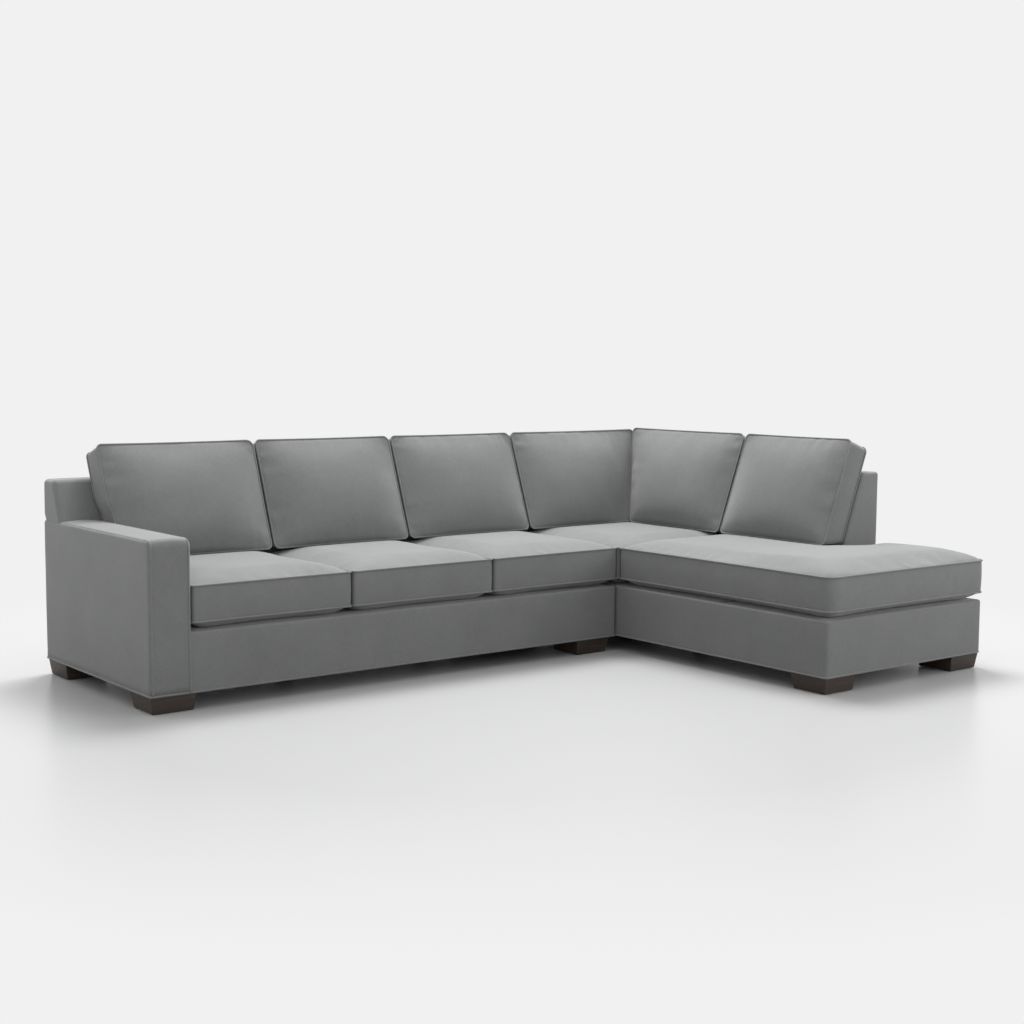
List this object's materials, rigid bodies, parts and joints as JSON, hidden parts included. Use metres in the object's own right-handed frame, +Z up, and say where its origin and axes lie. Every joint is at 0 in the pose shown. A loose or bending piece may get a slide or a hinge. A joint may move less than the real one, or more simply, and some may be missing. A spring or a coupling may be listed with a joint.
{
  "type": "sectional sofa",
  "caption": "L-shaped sectional sofa with a square left arm, boxed seat and back cushions, a corner and a bumper end on low tapered block feet.",
  "frame": {"origin": "on the floor under the middle of the plan's bounding rectangle", "axes": "+X along the long run, from the arm to the short back; +Y to the rear of the long run; +Z up"},
  "size_m": [3.17, 2.155, 0.9258],
  "materials": {
    "upholstery": "tight flat weave, mid grey",
    "deck_cloth": "plain deck cloth, grey",
    "dust_cloth": "thin black non-woven cloth",
    "cushion_foam": "pale foam",
    "webbing": "black woven strap",
    "frame_wood": "sawn hardwood and plywood, unfinished",
    "hardboard": "smooth hardboard",
    "foot_wood": "espresso stain, satin",
    "spring_steel": "bright drawn steel",
    "bracket_steel": "black, satin",
    "leg_plastic": "black, matte"
  },
  "bodies": {
    "sofa_section": {"sofa_front_rail": "frame_wood", "sofa_seat_rail": "frame_wood", "sofa_rear_rail": "frame_wood", "sofa_side_rails": "frame_wood", "sofa_cross_rails": "frame_wood", "sofa_foot_blocks": "frame_wood", "sofa_back_posts": "frame_wood", "sofa_top_rail": "frame_wood", "sofa_back_webbing": "webbing", "sofa_back_cover": "upholstery", "sofa_springs": "spring_steel", "sofa_spring_clips": "spring_steel", "sofa_deck": "deck_cloth", "sofa_border": "upholstery", "sofa_dust_cover": "dust_cloth", "arm_boards": "frame_wood", "arm_posts": "frame_wood", "arm_panels": "hardboard", "arm_cover": "upholstery", "sofa_feet": "foot_wood", "sofa_centre_legs": "leg_plastic", "connector_receivers": "bracket_steel"},
    "bumper_section": {"bumper_front_rail": "frame_wood", "bumper_rear_rail": "frame_wood", "bumper_long_rails": "frame_wood", "bumper_seat_rails": "frame_wood", "bumper_cross_rails": "frame_wood", "bumper_foot_blocks": "frame_wood", "bumper_back_posts": "frame_wood", "bumper_top_rails": "frame_wood", "bumper_back_webbing": "webbing", "corner_back_cover": "upholstery", "end_back_cover": "upholstery", "bumper_springs": "spring_steel", "bumper_spring_clips": "spring_steel", "bumper_deck": "deck_cloth", "bumper_border": "upholstery", "bumper_dust_cover": "dust_cloth", "bumper_feet": "foot_wood", "bumper_centre_legs": "leg_plastic", "connector_hooks": "bracket_steel"},
    "seat_1": {"seat_cushion_1": "upholstery", "seat_core_1": "cushion_foam"},
    "seat_2": {"seat_cushion_2": "upholstery", "seat_core_2": "cushion_foam"},
    "seat_3": {"seat_cushion_3": "upholstery", "seat_core_3": "cushion_foam"},
    "corner_seat": {"corner_seat_cushion": "upholstery", "corner_seat_core": "cushion_foam"},
    "bumper_seat": {"bumper_seat_cushion": "upholstery", "bumper_seat_core": "cushion_foam"},
    "back_1": {"back_cushion_1": "upholstery"},
    "back_2": {"back_cushion_2": "upholstery"},
    "back_3": {"back_cushion_3": "upholstery"},
    "back_4": {"back_cushion_4": "upholstery"},
    "back_5": {"back_cushion_5": "upholstery"},
    "back_6": {"back_cushion_6": "upholstery"}
  },
  "joints": [
    {"name": "bumper_unhook", "type": "slide", "parent": "sofa_section", "child": "bumper_section", "axis": [0, 0, 1], "range_m": [0, 0.03]},
    {"name": "seat_1_lift", "type": "slide", "parent": "sofa_section", "child": "seat_1", "axis": [0, 0, 1], "range_m": [0, 0.45]},
    {"name": "seat_2_lift", "type": "slide", "parent": "sofa_section", "child": "seat_2", "axis": [0, 0, 1], "range_m": [0, 0.45]},
    {"name": "seat_3_lift", "type": "slide", "parent": "sofa_section", "child": "seat_3", "axis": [0, 0, 1], "range_m": [0, 0.45]},
    {"name": "corner_seat_lift", "type": "slide", "parent": "bumper_section", "child": "corner_seat", "axis": [0, 0, 1], "range_m": [0, 0.45]},
    {"name": "bumper_seat_lift", "type": "slide", "parent": "bumper_section", "child": "bumper_seat", "axis": [0, 0, 1], "range_m": [0, 0.45]},
    {"name": "back_1_lift", "type": "slide", "parent": "seat_1", "child": "back_1", "axis": [0, 0.3487, 0.9373], "range_m": [0, 0.4]},
    {"name": "back_2_lift", "type": "slide", "parent": "seat_2", "child": "back_2", "axis": [0, 0.3487, 0.9373], "range_m": [0, 0.4]},
    {"name": "back_3_lift", "type": "slide", "parent": "seat_3", "child": "back_3", "axis": [0, 0.3487, 0.9373], "range_m": [0, 0.4]},
    {"name": "back_4_lift", "type": "slide", "parent": "corner_seat", "child": "back_4", "axis": [0, 0.3487, 0.9373], "range_m": [0, 0.4]},
    {"name": "back_5_lift", "type": "slide", "parent": "corner_seat", "child": "back_5", "axis": [0.3487, 0, 0.9373], "range_m": [0, 0.4]},
    {"name": "back_6_lift", "type": "slide", "parent": "bumper_seat", "child": "back_6", "axis": [0.3487, 0, 0.9373], "range_m": [0, 0.4]}
  ]
}
